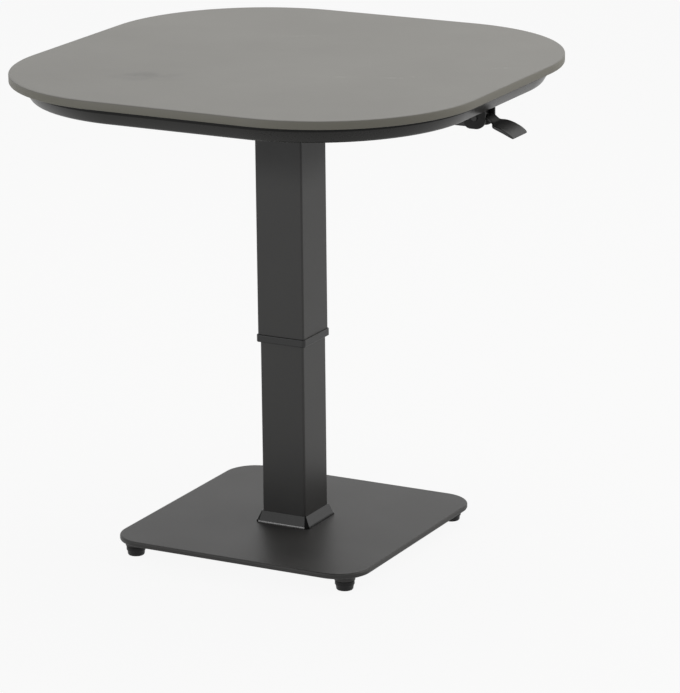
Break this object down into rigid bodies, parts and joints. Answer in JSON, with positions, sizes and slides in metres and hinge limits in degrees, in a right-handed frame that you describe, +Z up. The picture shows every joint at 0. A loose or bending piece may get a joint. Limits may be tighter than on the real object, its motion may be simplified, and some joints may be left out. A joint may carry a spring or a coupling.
{
  "type": "height-adjustable bistro table",
  "caption": "Square bistro table with a rounded stone-look top on a telescoping gas-lift column, a paddle lever under the edge that releases the lift, and a flat plate base on levelling feet.",
  "frame": {"origin": "on the floor, under the column's axis, with the table at its full height", "axes": "+Z up, +X towards the release paddle, the slab's straight sides along X and Y"},
  "size_m": [0.71, 0.7, 0.71],
  "materials": {
    "slab_stone": "matte",
    "panel_lacquer": "satin",
    "frame_paint": "satin",
    "black_nylon": "satin",
    "skirt_plastic": "gloss",
    "foot_plastic": "matte",
    "zinc_steel": "satin",
    "link_paint": "satin",
    "spring_paint": "gloss",
    "rod_chrome": "polished",
    "piston_alloy": "satin",
    "seal_rubber": "matte",
    "insert_brass": "satin"
  },
  "bodies": {
    "base": {"base_plate": "frame_paint", "foot_bosses": "frame_paint", "inner_tube": "frame_paint", "tube_foot": "frame_paint", "base_bolts": "zinc_steel", "base_washers": "zinc_steel", "skirt_cover": "skirt_plastic", "tube_guide": "black_nylon", "gas_piston_rod": "rod_chrome", "gas_piston": "piston_alloy", "piston_ring": "seal_rubber", "rod_nut": "zinc_steel"},
    "top": {"top_slab": "slab_stone", "slab_inserts": "insert_brass", "under_panel": "panel_lacquer", "top_plate": "frame_paint", "top_screws": "zinc_steel", "top_washers": "zinc_steel", "outer_tube": "frame_paint", "guide_collar": "black_nylon", "release_bracket": "frame_paint", "gas_cylinder": "spring_paint", "cylinder_gland": "piston_alloy", "rod_wiper": "seal_rubber", "cylinder_nut": "zinc_steel", "rocker_pin": "zinc_steel", "lever_bracket": "black_nylon", "bracket_screws": "zinc_steel", "lever_pin": "link_paint", "lever_pin_clip": "link_paint"},
    "paddle": {"paddle_lever": "black_nylon", "lever_link_pin": "zinc_steel"},
    "link": {"release_link": "link_paint"},
    "rocker": {"rocker": "zinc_steel", "rocker_link_pin": "zinc_steel"},
    "valve": {"valve_pin": "zinc_steel"},
    "foot_front_left": {"foot_pad_front_left": "foot_plastic", "foot_stud_front_left": "zinc_steel"},
    "foot_front_right": {"foot_pad_front_right": "foot_plastic", "foot_stud_front_right": "zinc_steel"},
    "foot_back_left": {"foot_pad_back_left": "foot_plastic", "foot_stud_back_left": "zinc_steel"},
    "foot_back_right": {"foot_pad_back_right": "foot_plastic", "foot_stud_back_right": "zinc_steel"}
  },
  "joints": [
    {"name": "column_lift", "type": "slide", "parent": "base", "child": "top", "axis": [0, 0, 1], "range_m": [-0.23, 0]},
    {"name": "paddle_tilt", "type": "hinge", "parent": "top", "child": "paddle", "pos_m": [0.298, 0, 0.659], "axis": [0, -1, 0], "range_deg": [0, 14], "stiffness_Nm_per_rad": 1.5, "springref_deg": -8.59},
    {"name": "link_swing", "type": "hinge", "parent": "paddle", "child": "link", "pos_m": [0.298, 0, 0.646], "axis": [0, -1, 0], "range_deg": [-14.5, 0]},
    {"name": "rocker_tilt", "type": "hinge", "parent": "top", "child": "rocker", "pos_m": [0.018, 0, 0.659], "axis": [0, -1, 0], "range_deg": [0, 14.5]},
    {"name": "valve_press", "type": "slide", "parent": "top", "child": "valve", "axis": [0, 0, 1], "range_m": [-0.0045, 0]},
    {"name": "foot_level_front_left", "type": "slide", "parent": "base", "child": "foot_front_left", "axis": [0, 0, 1], "range_m": [-0.008, 0]},
    {"name": "foot_level_front_right", "type": "slide", "parent": "base", "child": "foot_front_right", "axis": [0, 0, 1], "range_m": [-0.008, 0]},
    {"name": "foot_level_back_left", "type": "slide", "parent": "base", "child": "foot_back_left", "axis": [0, 0, 1], "range_m": [-0.008, 0]},
    {"name": "foot_level_back_right", "type": "slide", "parent": "base", "child": "foot_back_right", "axis": [0, 0, 1], "range_m": [-0.008, 0]}
  ],
  "couplings": [
    {"joint": "link_swing", "follows": "paddle_tilt", "ratio": -1},
    {"joint": "rocker_tilt", "follows": "paddle_tilt", "ratio": 1},
    {"joint": "valve_press", "follows": "paddle_tilt", "m_per_rad": -0.018}
  ]
}
